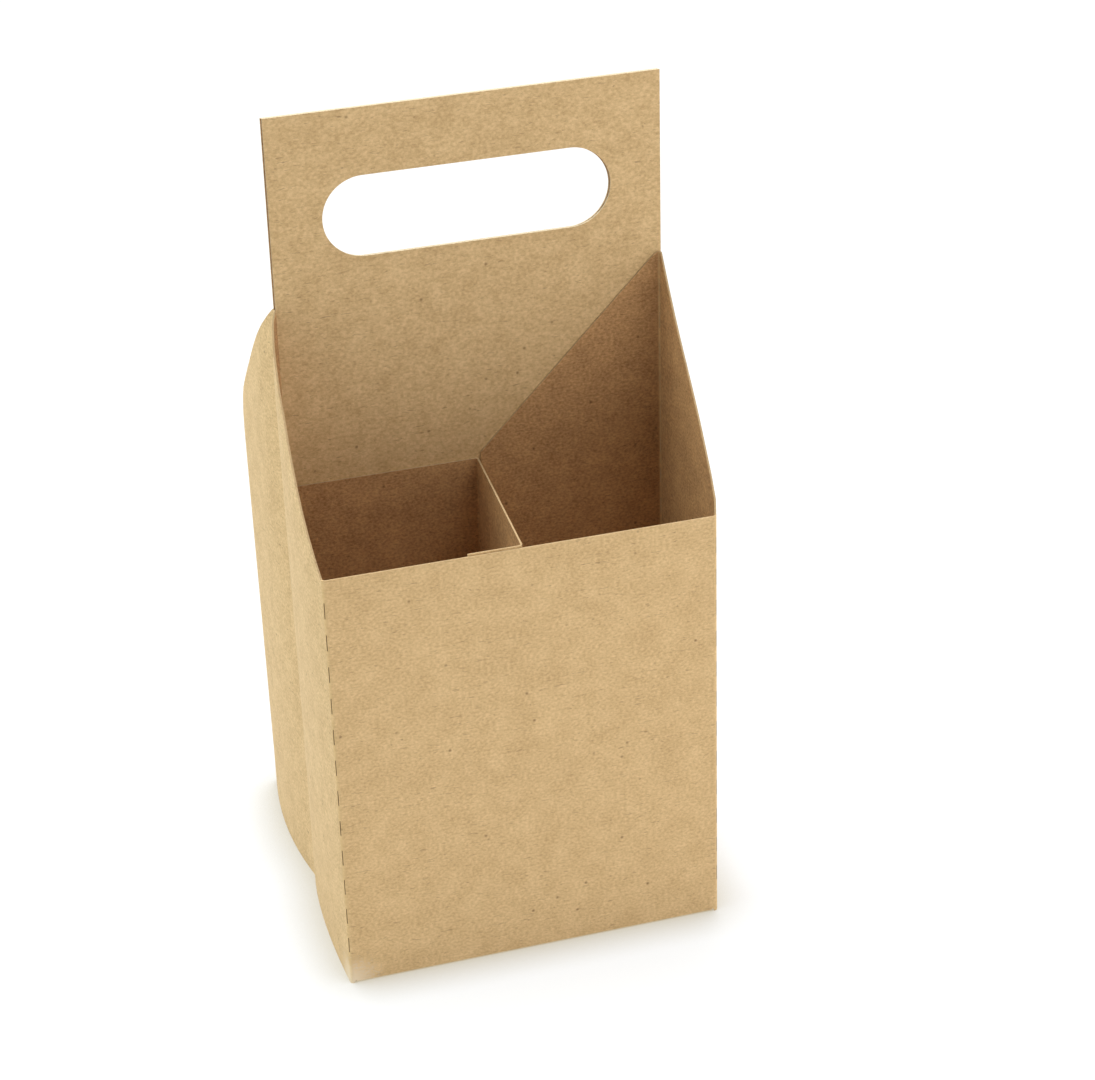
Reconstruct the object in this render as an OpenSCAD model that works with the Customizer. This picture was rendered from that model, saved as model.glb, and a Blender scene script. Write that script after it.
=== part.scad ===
// Four-bottle carrier of folded kraft board.
// One die-cut blank is folded and glued into an open basket: a front and a rear panel, two end walls
// that rise at a slope to the handle, a double handle panel along the middle, and dividers that fold off
// it to part the basket into four cells. Every wall is one thickness of board.
// Frame: X runs along the handle, Y from front to rear, Z up. The origin is at the middle of the base.

/* [Body] */
// Width of the front panel, along the handle
body_w = 124; // [110:1:150]
// Depth from the front panel to the rear panel
body_d = 126; // [110:1:150]
// Height of the front and rear panels
wall_h = 146; // [120:1:190]
// Slope of the left end wall's top edges, in degrees
left_slope = 45; // [30:1:52]
// Slope of the right end wall's top edges, in degrees
right_slope = 46; // [30:1:52]

/* [Board] */
// Thickness of the board
board_t = 0.6; // [0.4:0.1:1]
// Radius of a fold, along the middle of the board
fold_r = 1; // [0.8:0.1:1.6]
// Outward bow of the left end wall, half way along each half
left_bow = 2.6; // [0:0.1:4]
// Outward bow of the right end wall, half way along each half
right_bow = 1; // [0:0.1:4]
// How far the front panel stands to the left of the handle, as the basket isn't pulled quite square
front_skew = 3; // [0:0.5:6]
// How far the rear panel stands to the right of the handle
rear_skew = 0.5; // [0:0.5:6]

/* [Cut creases] */
// Length of each cut through an upright fold, and of the bridge below it
cut_l = 5.5; // [4:0.5:8]
// Width that a cut opens to
cut_w = 0.3; // [0.2:0.1:0.5]
// From the top of a fold down to its first cut
cut_drop = 7.5; // [5:0.5:12]

/* [Handle] */
// Height of the handle above the peak of the left end wall
handle_rise = 61; // [50:1:90]
// Length of the hand slot, over its round ends
slot_w = 91; // [70:1:100]
// Height of the hand slot
slot_h = 26; // [20:1:34]
// From the top edge of the handle down to the middle of the hand slot
slot_drop = 34.4; // [26:0.2:42]
// How far the rear ply of the handle stands to the left of the front ply
ply_shift = 0.4; // [0.1:0.1:0.8]

/* [Dividers and risers] */
// How far the dividers stand above the front panel's top edge
divider_rise = 0.6; // [0:0.1:2]
// Width of the glued tab at the end of each divider
tab_w = 17; // [12:1:24]
// How far the low end of a riser stands above the dividers
riser_step = 2; // [0:0.5:6]

/* [Base] */
// Width of the rear base flap, glued over the front one
base_lap = 34; // [20:1:60]
// Gap between the base and the folds at its ends
base_gap = 0.6; // [0.2:0.1:2]

/* [Hidden] */
kraft = [0.80, 0.68, 0.49];
// Straight steps along a fold's arc and along a bowed panel
fold_steps = 5;
bow_steps = 10;
// A crease that turns the board by less than this many degrees stays a plain corner
least_turn = 30;
// Overrun of the cutting shapes
over = 5;

half_w = body_w / 2;
half_d = body_d / 2;
// Layers of the partition, counted from the middle plane: a handle ply, then a low panel or a riser
outer_y = board_t * 3 / 2;
// Middle of the board in the outer panels, out from the middle of the handle
mid_x = half_w - board_t / 2;
mid_y = half_d - board_t / 2;
// The top edges stay level over the folds, and slope between them
shoulder = fold_r + board_t / 2;
slope_run = half_d - shoulder - outer_y;
left_peak = wall_h + tan(left_slope) * slope_run;
right_peak = wall_h + tan(right_slope) * slope_run;
top_h = left_peak + handle_rise;
divider_h = wall_h + divider_rise;
// The two base flaps lie one on the other, and the upright panels stand on them
floor_z = 2 * board_t;
// Left edge of the handle panel, against the inside of the left crease
handle_left = -half_w + board_t;
// Middle of the front panel, on side -1, and of the rear panel, on side 1
function panel_x(side) = side < 0 ? -front_skew : rear_skew;

// Points of an arc that rounds the corner b between the lines ab and bc
function corner_arc(a, b, c) =
    let (
        u = (a - b) / norm(a - b),
        v = (c - b) / norm(c - b),
        half_angle = acos(u * v) / 2,
        tangent = fold_r / tan(half_angle),
        middle = b + (u + v) / norm(u + v) * fold_r / sin(half_angle),
        from = b + u * tangent - middle,
        turn = (u[0] * v[1] - u[1] * v[0] > 0 ? -1 : 1) * (180 - 2 * half_angle)
    )
    abs(turn) < least_turn ? [b] :
    [for (i = [0:fold_steps])
        let (angle = turn * i / fold_steps)
        middle + [from[0] * cos(angle) - from[1] * sin(angle), from[0] * sin(angle) + from[1] * cos(angle)]];

// Points between p and q on a panel that bows to the right of its run
function bowed(p, q, bow) =
    let (run = (q - p) / norm(q - p))
    bow == 0 ? [] :
    [for (i = [1:bow_steps - 1])
        let (share = i / bow_steps)
        p + (q - p) * share + [run[1], -run[0]] * bow * 4 * share * (1 - share)];

// Middle line of a sheet that is folded at each inner corner, with a bow for each panel
function folded_line(corners, bows) =
    let (
        last = len(corners) - 1,
        rounds = [for (i = [0:last])
            i == 0 || i == last ? [corners[i]] : corner_arc(corners[i - 1], corners[i], corners[i + 1])]
    )
    [for (i = [0:last])
        each i == last ? rounds[i] :
            concat(rounds[i], bowed(rounds[i][len(rounds[i]) - 1], rounds[i + 1][0], bows[i]))];

// Direction of the line through the points at and around i, turned to the left
function left_of(line, i) =
    let (
        run = line[min(i + 1, len(line) - 1)] - line[max(i - 1, 0)]
    )
    [-run[1], run[0]] / norm(run);

// The outer walls in one line: the two halves of the right end, whose edges turn in along the handle,
// the front and rear panels, and the left end with its crease
turned_in = fold_r + board_t;
outer_line = folded_line(
    [
        [mid_x - turned_in, outer_y],
        [mid_x, outer_y],
        [panel_x(1) + mid_x, mid_y],
        [panel_x(1) - mid_x, mid_y],
        [-mid_x, 0],
        [panel_x(-1) - mid_x, -mid_y],
        [panel_x(-1) + mid_x, -mid_y],
        [mid_x, -outer_y],
        [mid_x - turned_in, -outer_y]
    ],
    [0, right_bow, 0, left_bow, left_bow, 0, right_bow, 0]
);
// The end walls don't bow alike, so the handle stands a little off the middle of the base
outer_x = [for (point = outer_line) point[0]];
handle_x = -(min(outer_x) + max(outer_x)) / 2;

// A strip of board of even thickness along a middle line
module strip(line) {
    ends = len(line) - 1;
    polygon(concat(
        [for (i = [0:ends]) line[i] + left_of(line, i) * board_t / 2],
        [for (i = [ends:-1:0]) line[i] - left_of(line, i) * board_t / 2]
    ));
}

// Stands a drawing of depth and height across the width, from one X to another
module across_width(from, to) {
    rotate([90, 0, 90])
        translate([0, 0, from])
            linear_extrude(to - from) children();
}

// Stands a drawing of width and height as one ply, from y_from to the rear
module ply(y_from) {
    translate([0, y_from + board_t, 0])
        rotate([90, 0, 0])
            linear_extrude(board_t) children();
}

// Side view of one end's walls: level at the front and rear panels, sloped to a peak at the handle,
// and rounded where the base flaps fold in
module side_view(peak_h) {
    difference() {
        polygon([
            [-half_d - over, 0],
            [half_d + over, 0],
            [half_d + over, wall_h],
            [half_d - shoulder, wall_h],
            [outer_y, peak_h],
            [-outer_y, peak_h],
            [-half_d + shoulder, wall_h],
            [-half_d - over, wall_h]
        ]);
        for (side = [-1, 1])
            base_corner(side, side > 0 ? board_t : 0, shoulder);
    }
}

// What a base fold takes off the lower corner of the side view, at the height where its flap lies
module base_corner(side, low, round_r) {
    translate([side * (half_d - round_r), low + round_r])
        difference() {
            translate([side > 0 ? 0 : -round_r - over, -low - round_r - over])
                square([round_r + over, low + round_r + over]);
            circle(round_r, $fn = 48);
        }
}

// The outer walls, with their upright folds cut through in rows
module outer_walls() {
    difference() {
        intersection() {
            linear_extrude(top_h) strip(outer_line);
            union() {
                across_width(-body_w, 0) side_view(left_peak);
                across_width(0, body_w) side_view(right_peak);
            }
        }
        for (side = [-1, 1]) {
            cut_row([panel_x(side) - mid_x, side * mid_y], -side * 45, wall_h);
            cut_row([panel_x(side) + mid_x, side * mid_y], -side * 135, wall_h);
            cut_row([mid_x, side * outer_y], side * 135, right_peak);
        }
    }
}

// A row of cuts through an upright fold, from near its top to above the base. The corner is where the
// fold's two panels would meet, and inward is the direction from there to the inside of the fold.
module cut_row(corner, inward, fold_top) {
    translate(corner)
        rotate(inward)
            for (z = [fold_top - cut_drop - cut_l:-2 * cut_l:floor_z + shoulder])
                translate([-board_t / 2, -cut_w / 2, z])
                    cube([fold_r + board_t, cut_w, cut_l]);
}

// One divider: it starts as a low panel that doubles the handle panel on the left, folds across to the
// front or rear panel in the middle, and ends in a tab that is glued to that panel
module divider(side) {
    line = folded_line(
        [
            [handle_left, side * outer_y],
            [0, side * outer_y],
            [panel_x(side), side * (mid_y - board_t)],
            [panel_x(side) - tab_w, side * (mid_y - board_t)]
        ],
        [0, 0, 0]
    );
    translate([0, 0, floor_z]) linear_extrude(divider_h - floor_z) strip(line);
}

// One riser: it doubles the handle panel on the right, from the divider to the right end wall that it
// is folded from, and its top edge rises to the peak there
module riser(side) {
    ply(side > 0 ? board_t : -2 * board_t)
        polygon([
            [fold_r, floor_z],
            [mid_x - fold_r, floor_z],
            [mid_x - fold_r, right_peak],
            [fold_r, divider_h + riser_step]
        ]);
}

// One ply of the handle panel, full height, with the hand slot in the middle of its width. The shift
// moves it to the left. Its right edge is flush with the folds of the right end wall.
module handle_ply(y_from, shift) {
    end_x = (slot_w - slot_h) / 2;
    middle_x = (handle_left + half_w) / 2 - shift;
    ply(y_from)
        difference() {
            translate([handle_left - shift, floor_z])
                square([half_w - handle_left, top_h - floor_z]);
            translate([middle_x, top_h - slot_drop]) {
                for (side = [-1, 1])
                    translate([side * end_x, 0]) circle(slot_h / 2, $fn = 96);
                translate([-end_x, -slot_h / 2]) square([2 * end_x, slot_h]);
            }
        }
}

// A base flap that folds in under a panel: side is the panel, low the height it lies at
module base_flap(side, low, reach) {
    line = folded_line(
        [
            [side * mid_y, low + shoulder + board_t],
            [side * mid_y, low + board_t / 2],
            [side * (half_d - reach), low + board_t / 2]
        ],
        [0, 0]
    );
    intersection() {
        across_width(-body_w, body_w) strip(line);
        linear_extrude(floor_z + shoulder + board_t) base_plan();
    }
}

// Plan of the base: straight at the right, and cut back to a shallow V that clears the left crease
module base_plan() {
    reach_x = half_w - shoulder - base_gap;
    polygon([
        [panel_x(-1) + reach_x, -half_d],
        [panel_x(1) + reach_x, half_d],
        [panel_x(1) - reach_x, half_d],
        [handle_left + base_gap, 0],
        [panel_x(-1) - reach_x, -half_d]
    ]);
}

module carrier() {
    color(kraft)
    translate([handle_x, 0, 0])
    union() {
        outer_walls();
        for (side = [-1, 1]) {
            divider(side);
            riser(side);
        }
        handle_ply(-board_t, 0);
        handle_ply(0, ply_shift);
        base_flap(-1, 0, body_d - board_t - fold_r);
        base_flap(1, board_t, base_lap);
    }
}

carrier();
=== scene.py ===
# %% [markdown]
# # A bottle carrier of folded kraft board
# The real carrier is one sheet of brown board that is cut flat, folded round and glued, so every wall of it
# is a few sheets thick at most. A box with hollows cut into it would have the right outline and none of the
# character. Here a sheet without thickness is folded in the order of the real blank, and gets its thickness
# at the end.

# %% Load the CAD frame
import math

import bmesh
import bpy
from mathutils import Matrix, Vector


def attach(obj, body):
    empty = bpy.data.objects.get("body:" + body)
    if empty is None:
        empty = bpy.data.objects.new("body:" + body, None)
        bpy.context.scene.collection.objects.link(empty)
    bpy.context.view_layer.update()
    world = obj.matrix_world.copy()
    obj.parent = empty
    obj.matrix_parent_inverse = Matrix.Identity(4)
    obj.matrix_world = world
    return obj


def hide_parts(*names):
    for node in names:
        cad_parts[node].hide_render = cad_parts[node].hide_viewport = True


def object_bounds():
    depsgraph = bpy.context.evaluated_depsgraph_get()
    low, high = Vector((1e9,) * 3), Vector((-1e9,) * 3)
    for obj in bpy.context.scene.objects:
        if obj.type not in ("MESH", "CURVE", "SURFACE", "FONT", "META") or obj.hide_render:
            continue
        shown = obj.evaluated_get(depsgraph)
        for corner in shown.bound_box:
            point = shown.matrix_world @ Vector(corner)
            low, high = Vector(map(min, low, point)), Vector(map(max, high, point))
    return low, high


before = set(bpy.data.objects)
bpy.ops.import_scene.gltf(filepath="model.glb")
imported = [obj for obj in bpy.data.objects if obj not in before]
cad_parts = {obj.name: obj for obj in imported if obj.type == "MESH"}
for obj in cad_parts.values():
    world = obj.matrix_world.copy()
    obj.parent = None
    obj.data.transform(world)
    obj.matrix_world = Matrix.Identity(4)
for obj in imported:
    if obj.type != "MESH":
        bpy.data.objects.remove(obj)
cad_low, cad_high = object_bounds()
print("CAD box in mm:", [round(1000 * side, 1) for side in cad_high - cad_low])

# %% [markdown]
# ## Sizes
# Blender works in metres, and board is measured in millimetres, so each size is written as a number times
# `mm`. Plan points lie on the middle of the board, because the thickness is added to both sides of it
# later. The basket isn't pulled quite square: its front panel stands to the left of the handle and leans to
# the left, and its rear panel stands a little to the right. Where the handle itself stands is read from the
# frame, at its top corners.

# %% Driving sizes
mm = 0.001
board_t = 0.6 * mm
fold_r = 1.0 * mm
body_w = 124 * mm
body_d = cad_high.y - cad_low.y
wall_h = 146 * mm
divider_rise = 0.6 * mm
riser_step = 2 * mm
handle_rise = 61 * mm
ply_shift = 0.4 * mm
front_skew = 3 * mm
rear_skew = 0.5 * mm
front_lean = 0.65 * mm
end_slopes = {-1: math.radians(45), 1: math.radians(46)}
# Two places that are closer than this are one place
near = 0.01 * mm

# %% Places worked out from them
cad_places = [vertex.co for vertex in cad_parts["carrier"].data.vertices]
top_corners = [place.x for place in cad_places if place.z > cad_high.z - near]
handle_x = (min(top_corners) + max(top_corners)) / 2 + (ply_shift - board_t) / 2
panel_x = {-1: handle_x - front_skew, 1: handle_x + rear_skew}
mid_x = body_w / 2 - board_t / 2
mid_y = body_d / 2 - board_t / 2
outer_y = board_t * 3 / 2
shoulder = fold_r + board_t / 2
slope_run = body_d / 2 - shoulder - outer_y
peaks = {end: wall_h + math.tan(slope) * slope_run for end, slope in end_slopes.items()}
top_h = peaks[-1] + handle_rise
divider_h = wall_h + divider_rise
floor_z = 2 * board_t
print(f"walls {wall_h / mm:.1f}, peaks {peaks[-1] / mm:.1f} and {peaks[1] / mm:.1f} mm high")
print(f"handle {top_h / mm:.1f} mm high, {handle_x / mm:.2f} mm to the right of the base's middle")

# %% [markdown]
# ## Working in edit mode from a script
# By hand one clicks an edge and pulls it. A script has no pointer, so it picks edges and faces by where
# their middles lie. Every operator acts on all that is selected, and each pick clears the selection first.


# %% Picking by place
def pick(kind, test):
    """Selects the vertices, edges or faces whose middle passes a test, and nothing else."""
    bpy.ops.mesh.select_mode(type=kind)
    bpy.ops.mesh.select_all(action="DESELECT")
    mesh = bpy.context.object.data
    board = bmesh.from_edit_mesh(mesh)
    parts = {"VERT": board.verts, "EDGE": board.edges, "FACE": board.faces}[kind]
    found = 0
    for part in parts:
        corners = [part] if kind == "VERT" else part.verts
        middle = sum((corner.co for corner in corners), Vector()) / len(corners)
        if test(middle):
            part.select_set(True)
            found += 1
    board.select_flush_mode()
    bmesh.update_edit_mesh(mesh)
    return found


def picked_places(axis):
    """Places of the selected vertices, in order along an axis."""
    board = bmesh.from_edit_mesh(bpy.context.object.data)
    places = [vertex.co.copy() for vertex in board.verts if vertex.select]
    return sorted(places, key=lambda place: place[axis])


# %% An upright panel to start from
def add_upright_plane(name, left, right, low, top, y):
    """Adds an upright plane that faces the front, and goes into edit mode."""
    bpy.ops.object.select_all(action="DESELECT")
    middle = ((left + right) / 2, y, (low + top) / 2)
    bpy.ops.mesh.primitive_plane_add(size=1, location=middle, rotation=(math.pi / 2, 0, 0))
    piece = bpy.context.object
    piece.name = name
    piece.scale = (right - left, top - low, 1)
    bpy.ops.object.transform_apply(location=True, rotation=True, scale=True)
    bpy.ops.object.mode_set(mode="EDIT")
    return piece


# %% [markdown]
# ## Folding the sheet
# The walls are one long strip: riser, half an end wall, front panel, end wall, rear panel, half an end wall
# and riser. A strip like that could be drawn as a curve and swept, but its top edge rises and falls from
# panel to panel. So an upright edge is extruded along each panel and spun round each fold, and its two ends
# are set to the height of the cut there. A fold is a bend with a radius of its own, which catches the
# light.

# %% Extrude a panel, spin a fold
X, Y, Z = range(3)
fold_steps = 7
least_turn = math.radians(30)


def extrude_to(place):
    """Extrudes the selected upright edge to a place in plan."""
    start = picked_places(Z)[0]
    step = (place.x - start.x, place.y - start.y, 0)
    bpy.ops.mesh.extrude_region_move(TRANSFORM_OT_translate={"value": step})


def set_ends(low, top):
    """Moves the two ends of the selected upright edge to their heights."""
    foot, head = picked_places(Z)
    bpy.ops.transform.translate(value=(0, 0, low - foot.z))
    stretch = (top - low) / (head.z - foot.z)
    bpy.ops.transform.resize(value=(1, 1, stretch), center_override=(foot.x, foot.y, low))


def fold_at(before, corner, after):
    """A fold in plan: where it starts, the centre it turns about, and how far it turns."""
    run_in = (corner - before).normalized()
    run_out = (after - corner).normalized()
    turn = math.atan2(run_in.cross(run_out), run_in.dot(run_out))
    start = corner - run_in * fold_r * math.tan(abs(turn) / 2)
    to_left = Vector((-run_in.y, run_in.x))
    return start, start + to_left * math.copysign(fold_r, turn), turn


def fold_along(here, stations):
    """Takes the selected edge from station to station. Each station is a place in plan, a foot and a top."""
    for (place, low, top), (after, _, _) in zip(stations, stations[1:] + stations[-1:]):
        start, centre, turn = fold_at(here, place, after)
        if abs(turn) < least_turn:
            extrude_to(place)
            set_ends(low, top)
        else:
            extrude_to(start)
            set_ends(low, top)
            # The operator turns clockwise for a positive angle
            bpy.ops.mesh.spin(steps=fold_steps, angle=-turn, center=(*centre, 0), axis=(0, 0, 1))
        here = place


# %% Stations of the strip
base_gap = 0.6 * mm
flap_x = body_w / 2 - shoulder - base_gap
riser_x = handle_x + fold_r
riser_low = divider_h + riser_step
riser_slope = (peaks[1] - riser_low) / (mid_x - 2 * fold_r)
# The top edge is level over the fold at the right end, between the heights of its two sides there
fold_top = peaks[1] - fold_r / 2
foot_x = handle_x + mid_x - 3 * fold_r
foot_top = riser_low + riser_slope * (foot_x - riser_x)


def at(x, y):
    """A place in plan."""
    return Vector((x, y))


def riser_stations(side):
    """From the fold at the right end along the handle to the middle."""
    return [
        (at(handle_x + mid_x, side * outer_y), 0, fold_top),
        (at(foot_x, side * outer_y), floor_z, foot_top),
        (at(riser_x, side * outer_y), floor_z, riser_low),
    ]


# The base flaps lie one on the other: the front one on the floor, the rear one on top of it
front_fold_z = shoulder
rear_fold_z = shoulder + board_t
to_the_right = [(at(panel_x[-1] + mid_x, -mid_y), 0, wall_h)] + riser_stations(-1)
to_the_left = [
    (at(panel_x[-1] - mid_x, -mid_y), 0, wall_h),
    (at(handle_x - mid_x, -outer_y), 0, peaks[-1]),
    (at(handle_x - mid_x, outer_y), 0, peaks[-1]),
    (at(panel_x[1] - mid_x, mid_y), board_t, wall_h),
    (at(panel_x[1] - flap_x, mid_y), rear_fold_z, wall_h),
    (at(panel_x[1] + flap_x, mid_y), rear_fold_z, wall_h),
    (at(panel_x[1] + mid_x, mid_y), board_t, wall_h),
] + riser_stations(1)
print(len(to_the_right), "stations to the right of the front panel,", len(to_the_left), "to the left")

# %% Fold the strip both ways from the front panel
carrier = add_upright_plane(
    "folded_carrier", panel_x[-1] - flap_x, panel_x[-1] + flap_x, front_fold_z, wall_h, -mid_y
)
for end, stations in ((1, to_the_right), (-1, to_the_left)):
    end_x = panel_x[-1] + end * flap_x
    pick("EDGE", lambda middle: abs(middle.x - end_x) < near and abs(middle.y + mid_y) < near)
    fold_along(at(end_x, -mid_y), stations)
print("folded strip:", len(bmesh.from_edit_mesh(carrier.data).faces), "faces")

# %% [markdown]
# ## Room to bend
# A panel of one face can only be flat. Real board bows between its folds, so the strip is cut by planes
# into a grid first. The upright spacing is the length of a dash, because the folds of this carrier are cut
# through in dashes to make them bend easily, and the same lines then end the dashes.

# %% Cut the strip into a grid
dash_l = 5.5 * mm
dash_drop = 7.5 * mm
first_dash_top = wall_h - dash_drop
grid_step = 6 * mm
grid_start = 4.5 * mm
grid_end = 59 * mm
least_z = 4 * mm


def cut_across(axis, places):
    """Cuts the whole mesh by planes that stand across an axis."""
    direction = Vector((0, 0, 0))
    direction[axis] = 1
    for place in places:
        bpy.ops.mesh.select_all(action="SELECT")
        bpy.ops.mesh.bisect(plane_co=direction * place, plane_no=direction, threshold=near / 10)


def steps(start, end, step):
    """Evenly spaced places from a start up to an end."""
    return [start + step * number for number in range(int((end - start) / step) + 1)]


out_from_middle = steps(grid_start, grid_end, grid_step)
both_ways = [-place for place in out_from_middle] + out_from_middle
cut_across(X, both_ways)
cut_across(Y, both_ways)
lowest_cut = first_dash_top - dash_l * int((first_dash_top - least_z) / dash_l)
cut_across(Z, steps(lowest_cut, peaks[1], dash_l))
print("grid:", len(bmesh.from_edit_mesh(carrier.data).faces), "faces")

# %% [markdown]
# ## Bowed end walls
# The end walls are held at their folds and free along their top edges, so each half bulges outwards, and
# more at the top than at the foot, while the free edge itself curls in a little. The left wall's halves
# rise steeply from the crease, and the right wall's halves bulge most near their far corners. Proportional
# editing could pull them by hand, but its falloff would reach round the folds. So a formula moves the
# vertices, with a few sizes.

# %% How far an end wall bulges
# Each half has its bulge at the foot and near the top, and how full its curve is near the top. A lean of 1
# puts the greatest bulge half way along, more puts it nearer the corner, and less nearer the handle.
right_half = {"foot": 0.7 * mm, "top": 1.4 * mm, "fullness": 4, "lean": 3}
halves = {
    (-1, -1): {"foot": 1.8 * mm, "top": 3.4 * mm, "fullness": 3, "lean": 0.8},
    (-1, 1): {"foot": 2.8 * mm, "top": 4.1 * mm, "fullness": 4, "lean": 1},
    (1, -1): right_half,
    (1, 1): right_half,
}
foot_fullness = 2
edge_curl_share = 0.18
edge_curl_depth = 5 * mm


def bulge_at(end, side, share, height, top):
    """Bulge of an end wall's half, at a share of the way to its corner, at a height under its top edge."""
    half = halves[end, side]
    rise = height / top
    fullness = foot_fullness + (half["fullness"] - foot_fullness) * rise
    bulge = half["foot"] + (half["top"] - half["foot"]) * rise
    curl = edge_curl_share * math.exp((height - top) / edge_curl_depth)
    return bulge * (1 - curl) * (1 - abs(2 * share ** half["lean"] - 1) ** fullness)


# %% Bow the end walls
def wall_at(end, y):
    """Side that a place in Y is on, where the flat end wall stands there, and its share of the bowed half."""
    side = -1 if y < 0 else 1
    held_at = outer_y if end < 0 else outer_y + fold_r
    panel_share = (abs(y) - outer_y) / (mid_y - outer_y)
    wall_x = end * mid_x + handle_x + (panel_x[side] - handle_x) * panel_share
    return side, wall_x, (abs(y) - held_at) / (mid_y - fold_r - held_at)


def bow_wall(mesh, end):
    """Bows both halves of one end wall outwards, and returns how many vertices moved."""
    moved = 0
    for vertex in mesh.vertices:
        place = vertex.co
        side, wall_x, share = wall_at(end, place.y)
        top = wall_h + (peaks[end] - wall_h) * (1 - share)
        if 0 < share < 1 and abs(place.x - wall_x) < board_t / 2:
            place.x += end * bulge_at(end, side, share, place.z, top)
            moved += 1
    return moved


bpy.ops.object.mode_set(mode="OBJECT")
print("bowed vertices:", [bow_wall(carrier.data, end) for end in (-1, 1)])

# %% [markdown]
# ## Base flaps
# The front panel folds in under the basket as one flap over the whole depth, and the rear panel's shorter
# flap is glued on top of it. Their left edges are cut to follow the bowed wall, and leave it a narrow gap
# to move in.

# %% Spin the base folds and extrude the flaps
base_lap = 34 * mm
flap_step = 15 * mm
rows_each_way = 3
flap_gap = 0.3 * mm


def flap_edges(y):
    """Left and right edge of the base at a place from front to rear."""
    side, wall_x, share = wall_at(-1, y)
    bulge = bulge_at(-1, side, share, 0, wall_h) if 0 < share < 1 else 0
    left = wall_x - bulge + board_t / 2 + flap_gap
    right = flap_x + (panel_x[-1] + panel_x[1]) / 2 + (panel_x[1] - panel_x[-1]) / 2 * y / mid_y
    return left, right


def base_flap(side, fold_z, ends):
    """Folds a flap in from a panel's foot, and extrudes it to each place in Y in turn."""
    pick("EDGE", lambda middle: abs(middle.y - side * mid_y) < near and abs(middle.z - fold_z) < near)
    centre = (0, side * (mid_y - fold_r), fold_z)
    bpy.ops.mesh.spin(steps=fold_steps, angle=side * math.pi / 2, center=centre, axis=(1, 0, 0))
    here = side * (mid_y - fold_r)
    for end in ends:
        bpy.ops.mesh.extrude_region_move(TRANSFORM_OT_translate={"value": (0, end - here, 0)})
        row = picked_places(X)
        for corner, edge_x in zip((row[0], row[-1]), flap_edges(end)):
            pick("VERT", lambda place: (place - corner).length < near)
            bpy.ops.transform.translate(value=(edge_x - corner.x, 0, 0))
        flap_z = row[0].z
        pick("EDGE", lambda middle: abs(middle.y - end) < near and abs(middle.z - flap_z) < near)
        here = end


bpy.ops.object.mode_set(mode="EDIT")
flap_rows = [flap_step * row for row in range(-rows_each_way, rows_each_way + 1)]
base_flap(-1, front_fold_z, flap_rows + [body_d / 2 - board_t - fold_r])
base_flap(1, rear_fold_z, [flap_rows[-1], body_d / 2 - base_lap])
print("with base flaps:", len(bmesh.from_edit_mesh(carrier.data).faces), "faces")

# %% [markdown]
# ## Cut creases
# Six upright folds are cut through in dashes. The middle strip of a fold is about a quarter of a millimetre
# wide, as wide as such a cut opens, so a dash is made by deleting that strip's face in every second row of
# the grid.


# %% Find the cut folds
def fold_middle(before, corner, after):
    """The place in plan half way round a fold."""
    start, centre, turn = fold_at(before, corner, after)
    return centre + Matrix.Rotation(turn / 2, 2) @ (start - centre)


def cut_folds_of(side):
    """Middles of the folds at a panel's left and right corner, and of the one at the handle's right end."""
    left, right = at(panel_x[side] - mid_x, side * mid_y), at(panel_x[side] + mid_x, side * mid_y)
    crease, fold = at(handle_x - mid_x, side * outer_y), at(handle_x + mid_x, side * outer_y)
    corners = [fold_middle(right, left, crease), fold_middle(left, right, fold)]
    return corners, fold_middle(right, fold, at(foot_x, side * outer_y))


front_corners, front_handle_end = cut_folds_of(-1)
rear_corners, rear_handle_end = cut_folds_of(1)
corner_folds = front_corners + rear_corners
handle_folds = [front_handle_end, rear_handle_end]
cut_folds = [(fold, wall_h) for fold in corner_folds] + [(fold, peaks[1]) for fold in handle_folds]
print("cut folds at", [(round(fold.x / mm, 1), round(fold.y / mm, 1)) for fold, _ in cut_folds], "mm")


# %% Open the dashes
def in_dash(middle):
    """Whether a face is one of the dashes: on a fold's middle, in every second row below its top."""
    for fold, top in cut_folds:
        row = math.floor((top - dash_drop - middle.z) / dash_l)
        if (at(middle.x, middle.y) - fold).length < board_t / 4 and row >= 0 and middle.z > lowest_cut:
            return row % 2 == 0
    return False


print("dashes:", pick("FACE", in_dash))
bpy.ops.mesh.delete(type="FACE")
bpy.ops.object.mode_set(mode="OBJECT")

# %% [markdown]
# ## Kraft board
# Kraft board is pressed from long unbleached fibres. Its outer face is a smooth light liner, its inner face
# is rougher and darker, and where it is knocked or creased its fibres show pale. An image could carry all
# that, but a pattern made of nodes has no seams and no one size. The fibres lie mostly level round the
# basket, so the noise that draws them is stretched sideways, and Object coordinates place it as if it ran
# through the sheet.


# %% Colours and nodes
def linear(hex_colour):
    """Turns an sRGB hex colour into the linear values that a shader takes."""
    parts = [int(hex_colour[place:place + 2], 16) / 255 for place in (1, 3, 5)]
    return [part / 12.92 if part <= 0.04045 else ((part + 0.055) / 1.055) ** 2.4 for part in parts] + [1]


def add(tree, kind, inputs, **settings):
    """Adds a node with its settings, and fills its inputs with values or with other nodes' outputs."""
    node = tree.nodes.new(kind)
    for name, value in settings.items():
        setattr(node, name, value)
    for socket, source in inputs.items():
        if isinstance(source, bpy.types.NodeSocket):
            tree.links.new(source, node.inputs[socket])
        else:
            node.inputs[socket].default_value = source
    return node


# A mix of colours has its two colours and its result at these sockets
COLOUR_A, COLOUR_B, COLOUR_OUT = 6, 7, 2

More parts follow.
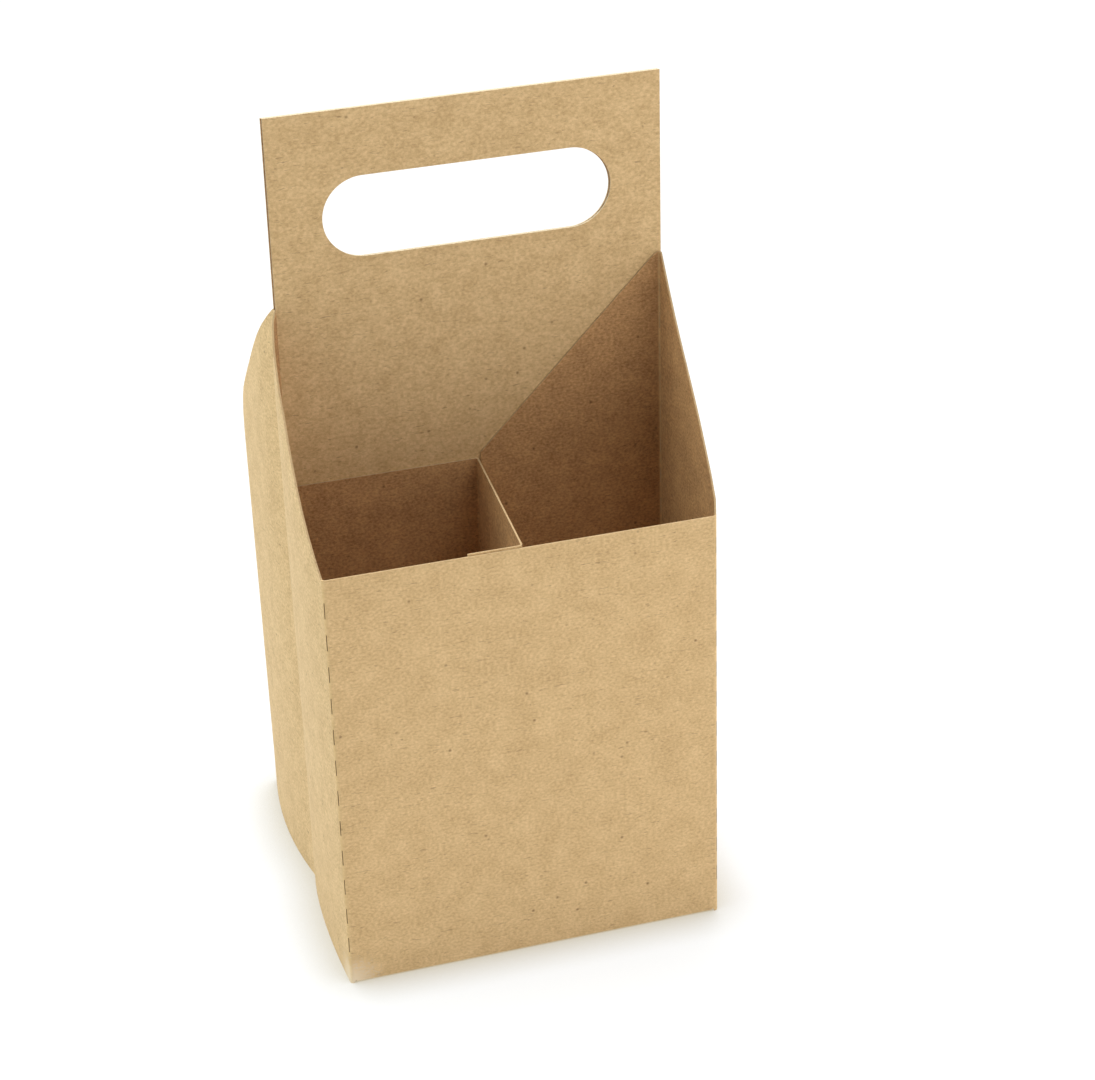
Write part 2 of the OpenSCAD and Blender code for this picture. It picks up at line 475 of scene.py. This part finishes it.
# %% [markdown]
# All surfaces of the board share one recipe. Fibres and mottling together choose a tone between a dark and
# a light colour. Longer fibres show as thin dark flecks, sparse cells leave dark specks, and the fibres
# raise the surface a little, so that light from the side finds them. Real fibres are finer than a pixel of
# the picture, so they are drawn as coarse as they need to be to show.

# %% Sizes of the pattern
fibre_l = 1.05 * mm
fibre_w = 0.75 * mm
fibre_height = 0.2 * mm
fibre_look = {"Detail": 2, "Roughness": 0.6}
mottle_size = 8 * mm
mottle_look = {"Detail": 3, "Roughness": 0.55}
mottle_share = 0.32
fleck_l = 3.2 * mm
fleck_w = 0.5 * mm
fleck_look = {"Detail": 1, "Distortion": 1.2}
speck_spacing = 8.5 * mm
speck_r = 0.68 * mm
speck_core_share = 0.3
# Noise values at which the tone is darkest and lightest, and at which a fleck starts and is full
tone_range = {"From Min": 0.34, "From Max": 0.66}
fleck_range = {"From Min": 0.65, "From Max": 0.78}
fleck_most = 0.55
speck_most = 0.75


# %% Tone, flecks and specks
def stretched_noise(tree, place, length, width, look):
    """Noise with grains that are longer round the basket than they are high."""
    stretch = {"Vector": place, "Scale": (1 / length, 1 / length, 1 / width)}
    along = add(tree, "ShaderNodeMapping", stretch).outputs["Vector"]
    return add(tree, "ShaderNodeTexNoise", {"Vector": along, "Scale": 1, **look}).outputs["Fac"]


def paper_colour(tree, place, fibre, dark, light):
    """A tone between two colours, chosen by the fibres and the mottling together."""
    cloud = {"Vector": place, "Scale": 1 / mottle_size, **mottle_look}
    mottle = add(tree, "ShaderNodeTexNoise", cloud).outputs["Fac"]
    both = add(tree, "ShaderNodeMix", {"Factor": mottle_share, "A": fibre, "B": mottle}).outputs["Result"]
    tone = add(tree, "ShaderNodeMapRange", {"Value": both, **tone_range}).outputs["Result"]
    paper = {"Factor": tone, COLOUR_A: linear(dark), COLOUR_B: linear(light)}
    return add(tree, "ShaderNodeMix", paper, data_type="RGBA").outputs[COLOUR_OUT]


def fleck_share(tree, place):
    """How much a long dark fibre covers the paper."""
    fleck = stretched_noise(tree, place, fleck_l, fleck_w, fleck_look)
    rare = {"Value": fleck, **fleck_range, "To Max": fleck_most}
    return add(tree, "ShaderNodeMapRange", rare).outputs["Result"]


def speck_share(tree, place):
    """How much a speck covers the paper, near the middle of each cell."""
    cells = {"Vector": place, "Scale": 1 / speck_spacing}
    reach = add(tree, "ShaderNodeTexVoronoi", cells).outputs["Distance"]
    edge = speck_r / speck_spacing
    spot = {"Value": reach, "From Min": edge, "From Max": speck_core_share * edge, "To Max": speck_most}
    return add(tree, "ShaderNodeMapRange", spot).outputs["Result"]


# %% [markdown]
# A pale patch is a matter of distance: from a point, or from the line of a crease. The fibres multiply that
# distance, so the pale patch has a ragged edge. Along a crease it is partly cracked liner and partly painted
# highlight.

# %% Pale patches at a corner, and pale lines with painted highlight along creases
# One corner at the front's foot turns paler towards its tip
pale_corner_r = 10 * mm
pale_corner_most = 0.9
pale_corner_tone = "#EBD8BC"
# Along the cut folds the pale line is partly cracked liner and partly painted highlight
crease_r = 0.7 * mm
crease_most = 0.5
crease_pale_and_highlight_tone = "#EBC88F"


def pale_share(tree, reach, fibre, radius, most):
    """How much of the pale tone shows: most of it at no distance, and none from about a radius on."""
    # The fibres' values lie about a half, so the product is about half of the distance
    ragged = add(tree, "ShaderNodeMath", {0: reach, 1: fibre}, operation="MULTIPLY").outputs["Value"]
    fade = {"Value": ragged, "From Min": radius / 2, "From Max": 0, "To Max": most}
    return add(tree, "ShaderNodeMapRange", fade).outputs["Result"]


def pale_corner_share(tree, place, fibre, point):
    """A pale patch round a point."""
    ends = {0: place, 1: point}
    reach = add(tree, "ShaderNodeVectorMath", ends, operation="DISTANCE").outputs["Value"]
    return pale_share(tree, reach, fibre, pale_corner_r, pale_corner_most)


def crease_pale_and_highlight_share(tree, place, fibre, foot, along):
    """A pale line, partly painted highlight, along a line from its foot in a direction of unit length."""
    ends = {0: place, 1: foot}
    away = add(tree, "ShaderNodeVectorMath", ends, operation="SUBTRACT").outputs["Vector"]
    # The cross product with a unit vector is as long as the way to the line along it
    product = {0: away, 1: along}
    across = add(tree, "ShaderNodeVectorMath", product, operation="CROSS_PRODUCT").outputs["Vector"]
    reach = add(tree, "ShaderNodeVectorMath", {0: across}, operation="LENGTH").outputs["Value"]
    return pale_share(tree, reach, fibre, crease_r, crease_most)


# %% Recipe for a surface of the board
paper_ior = 1.45
relief_strength = 0.5


def kraft(name, dark, light, speck, roughness, pale_corners=(), creases=()):
    """Board between a dark and a light tone, with dark marks, pale patches round points, and pale lines along
    creases that are partly painted highlight.
    """
    material = bpy.data.materials.new(name)
    material.use_nodes = True
    tree = material.node_tree
    tree.nodes.clear()
    place = add(tree, "ShaderNodeTexCoord", {}).outputs["Object"]
    fibre = stretched_noise(tree, place, fibre_l, fibre_w, fibre_look)
    marks = [(fleck_share(tree, place), speck), (speck_share(tree, place), speck)]
    marks += [(pale_corner_share(tree, place, fibre, point), pale_corner_tone) for point in pale_corners]
    # Pale lines along the cut folds: partly cracked liner, partly painted highlight
    marks += [(crease_pale_and_highlight_share(tree, place, fibre, *line), crease_pale_and_highlight_tone) for line in creases]

    colour = paper_colour(tree, place, fibre, dark, light)
    for share, tone in marks:
        marked = {"Factor": share, COLOUR_A: colour, COLOUR_B: linear(tone)}
        colour = add(tree, "ShaderNodeMix", marked, data_type="RGBA").outputs[COLOUR_OUT]
    relief = {"Height": fibre, "Distance": fibre_height, "Strength": relief_strength}
    bump = add(tree, "ShaderNodeBump", relief).outputs["Normal"]
    surface = {"Base Color": colour, "Roughness": roughness, "IOR": paper_ior, "Normal": bump}
    shader = add(tree, "ShaderNodeBsdfPrincipled", surface).outputs["BSDF"]
    add(tree, "ShaderNodeOutputMaterial", {"Surface": shader})
    return material


# %% [markdown]
# The outer liner is calendered, so it is even and a little lighter. One corner at the foot of the front turns
# paler towards its tip. Along the cut folds of the corners the liner is cracked, so its fibres show pale, and
# that pale line is partly painted highlight where the light catches the round of the fold.
# The inner face is plain recycled pulp, darker and duller, and cracked along the folds at the handle's right
# end, where its pale line is partly painted highlight on the cut edges of the dashes. A cut edge is the
# middle
# of the board seen end on: a dull brown. The handle's edges get a paler, greyer copy of it, which is painted
# light: the handle's top rim faces the light from above.


# %% Where the board is paler, and where painted highlight runs along the cut folds
def lean_share(y):
    """How much of the front's lean a place has: none behind the handle, and all of it at the front panel."""
    return max(0, (-y - outer_y) / (mid_y - outer_y))


def crease_line(fold):
    """Foot and direction of a cut fold, which leans as the board does there."""
    lean = front_lean * lean_share(fold.y)
    return Vector((*fold, 0)), Vector((-lean, 0, wall_h)).normalized()


pale_corner = (panel_x[-1] - mid_x, -mid_y, 0)
corner_creases = [crease_line(fold) for fold in corner_folds]
handle_creases = [crease_line(fold) for fold in handle_folds]
# The pale lines along these creases are partly painted highlight
print(len(corner_creases), "worn creases outside and", len(handle_creases), "inside")

# %% The surfaces of the board
outer_liner = kraft(
    "kraft_outer_liner", dark="#BD9B6A", light="#DDBC8A", speck="#7D5E38", roughness=0.75,
    pale_corners=[pale_corner], creases=corner_creases,
)
inner_face = kraft(
    "kraft_inner_face", dark="#976F46", light="#CA9D6A", speck="#5E4327", roughness=0.85,
    creases=handle_creases,
)
cut_edge = kraft("kraft_cut_edge", dark="#9D825D", light="#A98F6A", speck="#84694A", roughness=0.9)
# A paler, greyer copy of the cut edge, painted light for the handle's top rim, which faces the light from
# above
lit_handle_edge = kraft("kraft_handle_edge", dark="#AF9F84", light="#B9A98E", speck="#93805F", roughness=0.9)
print("materials:", [material.name for material in (outer_liner, inner_face, cut_edge, lit_handle_edge)])

# %% [markdown]
# ## Thickness
# The front of the basket leans a little to the left, with the divider that is glued to it, so each sheet
# gets that lean first. Solidify then turns it into board. It keeps the sheet in the middle, so every fold
# keeps its radius. The new inner faces and the rim get the next two materials. The board is drawn a hair
# thinner than it is, so that glued plies lie against each other without sharing a surface.

# %% Give a sheet its lean and its thickness
ply_gap = 0.03 * mm


def lean_front(piece):
    """Leans the front of a sheet to the left, more towards the front panel and towards the top."""
    for vertex in piece.data.vertices:
        vertex.co.x -= front_lean * lean_share(vertex.co.y) * vertex.co.z / wall_h


def thicken(piece, edge):
    """Gives a sheet the board's thickness, and its outer, inner and edge surface."""
    for material in (outer_liner, inner_face, edge):
        piece.data.materials.append(material)
    bpy.context.view_layer.objects.active = piece
    solid = piece.modifiers.new("board", "SOLIDIFY")
    solid.thickness = board_t - ply_gap
    solid.offset = 0
    solid.use_even_offset = True
    solid.material_offset = 1
    solid.material_offset_rim = 2
    bpy.ops.object.modifier_apply(modifier=solid.name)


lean_front(carrier)
thicken(carrier, cut_edge)
print("strip of board:", len(carrier.data.polygons), "faces")

# %% [markdown]
# ## Handle
# The handle panel is two plies glued back to back, so its light face shows on both sides. The rear ply
# stands a little to the left of the front one, as two halves of a folded blank do. The hand slot is a long
# hole with round ends, in the middle of each ply: a cylinder whose two halves are drawn apart cuts it.

# %% Cutter for the hand slot
slot_w = 91 * mm
slot_h = 26 * mm
slot_drop = 34.4 * mm
slot_facets = 96
handle_left = handle_x - body_w / 2 + board_t
handle_right = handle_x + body_w / 2


def slot_cutter(shift):
    """A bar with round ends that stands through the handle where the slot is."""
    bpy.ops.object.select_all(action="DESELECT")
    middle = ((handle_left + handle_right) / 2 - shift, 0, top_h - slot_drop)
    half_facet = math.pi / slot_facets
    bpy.ops.mesh.primitive_cylinder_add(
        vertices=slot_facets, radius=slot_h / 2, depth=slot_h, location=middle,
        rotation=(math.pi / 2, half_facet, 0),
    )
    cutter = bpy.context.object
    bpy.ops.object.transform_apply(location=True, rotation=True, scale=True)
    bpy.ops.object.mode_set(mode="EDIT")
    for end in (-1, 1):
        pick("VERT", lambda place: end * (place.x - middle[0]) > 0)
        bpy.ops.transform.translate(value=(end * (slot_w - slot_h) / 2, 0, 0))
    bpy.ops.object.mode_set(mode="OBJECT")
    # The slot's rims get the paler copy of the edge too, which is painted light
    cutter.data.materials.append(lit_handle_edge)
    return cutter


# %% Two plies with the slot through them
def handle_ply(name, y, shift):
    """One ply of the handle, which faces away from the other."""
    ply = add_upright_plane(name, handle_left - shift, handle_right - shift, floor_z, top_h, y)
    if y > 0:
        bpy.ops.mesh.flip_normals()
    bpy.ops.object.mode_set(mode="OBJECT")
    thicken(ply, lit_handle_edge)
    cutter = slot_cutter(shift)
    bpy.context.view_layer.objects.active = ply
    hole = ply.modifiers.new("slot", "BOOLEAN")
    hole.object = cutter
    hole.solver = "EXACT"
    hole.material_mode = "TRANSFER"
    bpy.ops.object.modifier_apply(modifier=hole.name)
    bpy.data.objects.remove(cutter)
    return ply


plies = [handle_ply("front_ply", -board_t / 2, 0), handle_ply("rear_ply", board_t / 2, ply_shift)]
print("handle plies:", [len(ply.data.polygons) for ply in plies], "faces")

# %% [markdown]
# ## Dividers
# On the left the handle is doubled on each side by a low panel. In the middle it folds across the basket,
# and it ends in a tab glued to the front or the rear panel, so each divider is folded like the walls. It
# was turned over when it was folded onto the handle, so it shows its darker inner face to the left.

# %% Fold the dividers
tab_w = 17 * mm


def divider(name, side):
    """A low panel against one side of the handle, the divider that folds off it, and its tab."""
    low_right = handle_x - 2 * fold_r
    tab_y = side * (mid_y - board_t)
    sheet = add_upright_plane(name, handle_left, low_right, floor_z, divider_h, side * outer_y)
    pick("EDGE", lambda middle: abs(middle.x - low_right) < near)
    fold_along(at(low_right, side * outer_y), [
        (at(handle_x, side * outer_y), floor_z, divider_h),
        (at(panel_x[side], tab_y), floor_z, divider_h),
        (at(panel_x[side] - tab_w, tab_y), floor_z, divider_h),
    ])
    if side < 0:
        bpy.ops.mesh.select_all(action="SELECT")
        bpy.ops.mesh.flip_normals()
    bpy.ops.object.mode_set(mode="OBJECT")
    lean_front(sheet)
    thicken(sheet, cut_edge)
    return sheet


dividers = [divider("front_divider", -1), divider("rear_divider", 1)]
print("dividers:", [round(sheet.dimensions.y / mm, 1) for sheet in dividers], "mm across the basket")

# %% [markdown]
# ## One piece of board
# All of it is one blank, so the sheets are joined into one mesh. Smoothing by angle rounds the folds and
# leaves the cut edges sharp.

# %% Join and smooth
fold_smoothing = math.radians(30)
bpy.ops.object.select_all(action="DESELECT")
for sheet in [carrier, *plies, *dividers]:
    sheet.select_set(True)
bpy.context.view_layer.objects.active = carrier
bpy.ops.object.join()
bpy.ops.object.shade_smooth_by_angle(angle=fold_smoothing)
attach(carrier, "root")
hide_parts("carrier")
print("carrier:", len(carrier.data.polygons), "faces, materials", len(carrier.data.materials))

# %% [markdown]
# ## Camera
# The picture is taken from above, a little from the left, with a long lens. A camera looks down its own Z
# axis, so it is turned up from straight down, then round to its side, and rolled a little as the picture
# is.

# %% Set the camera
frame_px = 1095
focal_px = 2944.4
sensor_w = 36
camera_turn = math.radians(16.37)
camera_pitch = math.radians(28.02)
camera_roll = math.radians(-1.57)
camera_distance = 957.9 * mm
aim_x = 22.63 * mm
aim_z = 112.5 * mm
aim = Vector((handle_x + aim_x, 0, aim_z))

upright = Matrix.Rotation(math.pi / 2 - camera_pitch, 4, "X")
turned = Matrix.Rotation(-camera_turn, 4, "Z") @ upright @ Matrix.Rotation(camera_roll, 4, "Z")
camera = bpy.data.objects.new("camera", bpy.data.cameras.new("camera"))
camera.data.sensor_width = sensor_w
camera.data.lens = focal_px / frame_px * sensor_w
camera.matrix_world = Matrix.Translation(aim + turned.to_3x3() @ Vector((0, 0, camera_distance))) @ turned
bpy.context.scene.collection.objects.link(camera)
bpy.context.scene.camera = camera
print("camera at", [round(part, 3) for part in camera.matrix_world.translation], "m")

# %% [markdown]
# ## Studio
# The carrier stands on white paper in soft light. The camera sees most of the paper as plain white, and
# only a soft warm shadow close to the foot remains: how much of the sky above a point the board hides says
# how dark it is there. The board itself is lit by the paper, half as lit paper and half as an even glow.
# Beyond the floor the world does the same: the camera sees it white, and the board gets a weak light from
# it.

# %% What the camera sees and what only gives light
white = linear("#FFFFFF")


def seen_directly(tree):
    """1 where the camera looks, also in gloss or through glass, and 0 where light is only given off."""
    rays = add(tree, "ShaderNodeLightPath", {}).outputs
    straight_or_gloss = {0: rays["Is Camera Ray"], 1: rays["Is Glossy Ray"]}
    mirrored = add(tree, "ShaderNodeMath", straight_or_gloss, operation="MAXIMUM").outputs["Value"]
    or_through = {0: mirrored, 1: rays["Is Transmission Ray"]}
    return add(tree, "ShaderNodeMath", or_through, operation="MAXIMUM").outputs["Value"]


# %% White floor that keeps the shadow
floor_size = 8000 * mm
floor_white = "#F4F3F0"
shadow_tone = "#BDAF8C"
shadow_reach = 16 * mm
shadow_samples = 4
# A wall hides half of the sky from its foot, and the round of a fold hides more just under it
darkest_sky = 0.2
lit_share = 0.2
glow_share = 0.5
floor_glow = 1.2


def white_floor():
    """Paper that the camera sees as mostly plain white."""
    material = bpy.data.materials.new("white_paper_floor")
    material.use_nodes = True
    tree = material.node_tree
    tree.nodes.clear()
    lit_paper = add(tree, "ShaderNodeBsdfDiffuse", {"Color": linear(floor_white)}).outputs["BSDF"]
    above = {"Distance": shadow_reach}
    open_sky = add(tree, "ShaderNodeAmbientOcclusion", above, samples=shadow_samples).outputs["AO"]
    clear = add(tree, "ShaderNodeMapRange", {"Value": open_sky, "From Min": darkest_sky}).outputs["Result"]
    tones = {"Factor": clear, COLOUR_A: linear(shadow_tone), COLOUR_B: white}
    tone = add(tree, "ShaderNodeMix", tones, data_type="RGBA").outputs[COLOUR_OUT]
    plain = add(tree, "ShaderNodeEmission", {"Color": tone, "Strength": 1}).outputs["Emission"]
    seen = add(tree, "ShaderNodeMixShader", {0: lit_share, 1: plain, 2: lit_paper}).outputs["Shader"]
    glow = add(tree, "ShaderNodeEmission", {"Color": white, "Strength": floor_glow}).outputs["Emission"]
    giving = add(tree, "ShaderNodeMixShader", {0: glow_share, 1: lit_paper, 2: glow}).outputs["Shader"]
    both = {0: seen_directly(tree), 1: giving, 2: seen}
    shader = add(tree, "ShaderNodeMixShader", both).outputs["Shader"]
    add(tree, "ShaderNodeOutputMaterial", {"Surface": shader})
    return material


bpy.ops.object.select_all(action="DESELECT")
bpy.ops.mesh.primitive_plane_add(size=floor_size)
floor = bpy.context.object
floor.name = "floor"
floor.data.materials.append(white_floor())
print("floor", round(floor_size), "m wide")

# %% World
ambient = 0.2
world = bpy.data.worlds.new("studio")
bpy.context.scene.world = world
world.use_nodes = True
sky = world.node_tree
sky.nodes.clear()
sky_levels = {"Value": seen_directly(sky), "To Min": ambient, "To Max": 1}
sky_strength = add(sky, "ShaderNodeMapRange", sky_levels).outputs["Result"]
sky_colour = {"Color": white, "Strength": sky_strength}
sky_light = add(sky, "ShaderNodeBackground", sky_colour).outputs["Background"]
add(sky, "ShaderNodeOutputWorld", {"Surface": sky_light})
print("world light", ambient)

# %% [markdown]
# The lamps are larger than the basket, so that they leave no hard shadow. Most of the light comes from above
# and a little from behind. A cooler lamp on the left lights that wall, one from the front lights the front
# panel, and a smaller one low down in front lifts its right side.

# %% Soft lamps
lamp_distance = 1600 * mm
lamp_size = 1000 * mm
lamp_aim = Vector((0, 0, peaks[-1] / 2))


def soft_lamp(name, turn, rise, power, distance=lamp_distance, size=lamp_size, colour="#FFFFFF"):
    """A square lamp that faces the basket, from so many degrees to the right and above level."""
    lamp = bpy.data.objects.new(name, bpy.data.lights.new(name, "AREA"))
    lamp.data.size = size
    lamp.data.energy = power
    lamp.data.color = linear(colour)[:3]
    facing = Matrix.Rotation(math.radians(turn), 4, "Z") @ Matrix.Rotation(math.radians(90 - rise), 4, "X")
    lamp.matrix_world = Matrix.Translation(lamp_aim + facing.to_3x3() @ Vector((0, 0, distance))) @ facing
    bpy.context.scene.collection.objects.link(lamp)
    return lamp


lamps = [
    soft_lamp("overhead", turn=180, rise=75, power=41),
    soft_lamp("left_side", turn=-100, rise=46, power=13.2, colour="#E6FEFF"),
    soft_lamp("front", turn=32, rise=55, power=7.1),
    soft_lamp("low_front", turn=50, rise=10, power=0.75, distance=600 * mm, size=400 * mm),
]
print("lamps in W:", {lamp.name: round(lamp.data.energy, 2) for lamp in lamps})

# %% [markdown]
# ## Finish
# Colours stay as written with the Standard view.

# %% View
bpy.context.scene.view_settings.view_transform = "Standard"
bpy.context.view_layer.update()
